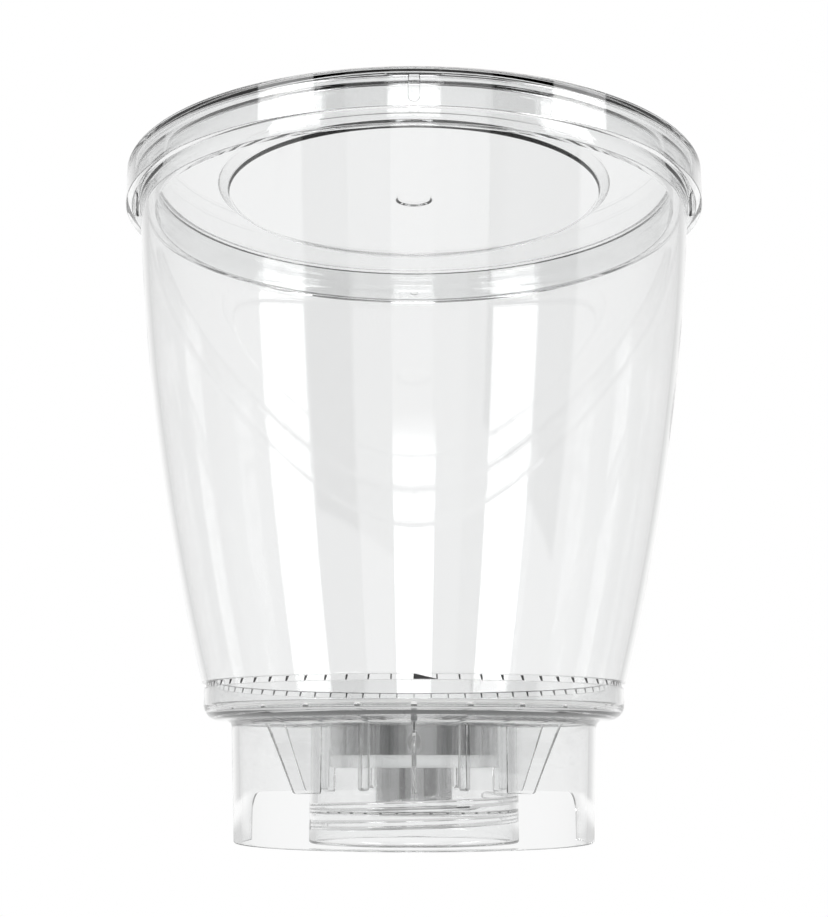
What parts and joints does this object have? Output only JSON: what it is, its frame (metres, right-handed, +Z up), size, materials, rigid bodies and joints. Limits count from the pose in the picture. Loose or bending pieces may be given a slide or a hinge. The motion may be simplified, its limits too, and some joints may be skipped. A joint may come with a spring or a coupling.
{
  "type": "bottle-top vacuum filtration unit",
  "caption": "Clear bottle-top vacuum filter: lidded conical cup over a membrane dish, with a threaded neck collar, drip spout, hose connector and open-backed support skirt.",
  "frame": {"origin": "on the cup's axis at the foot of the support skirt", "axes": "+Z up along the axis; +Y to the back, where the skirt is open and the hose connector points; +X to the right seen from the front"},
  "size_m": [0.1428, 0.1428, 0.1608],
  "materials": {
    "clear_body": "clear, polished moulding",
    "clear_lid": "clear, polished moulding",
    "clear_funnel": "clear, polished moulding",
    "grid": "clear moulding with fine channels",
    "membrane": "matt white porous film",
    "gasket": "pale translucent, satin",
    "connector": "clear moulding",
    "plug": "white porous fibre"
  },
  "bodies": {
    "root": {"base": "clear_body", "funnel": "clear_funnel", "lid": "clear_lid", "support_grid": "grid", "membrane": "membrane", "neck_gasket": "gasket", "hose_connector": "connector", "vent_plug": "plug"}
  },
  "joints": []
}
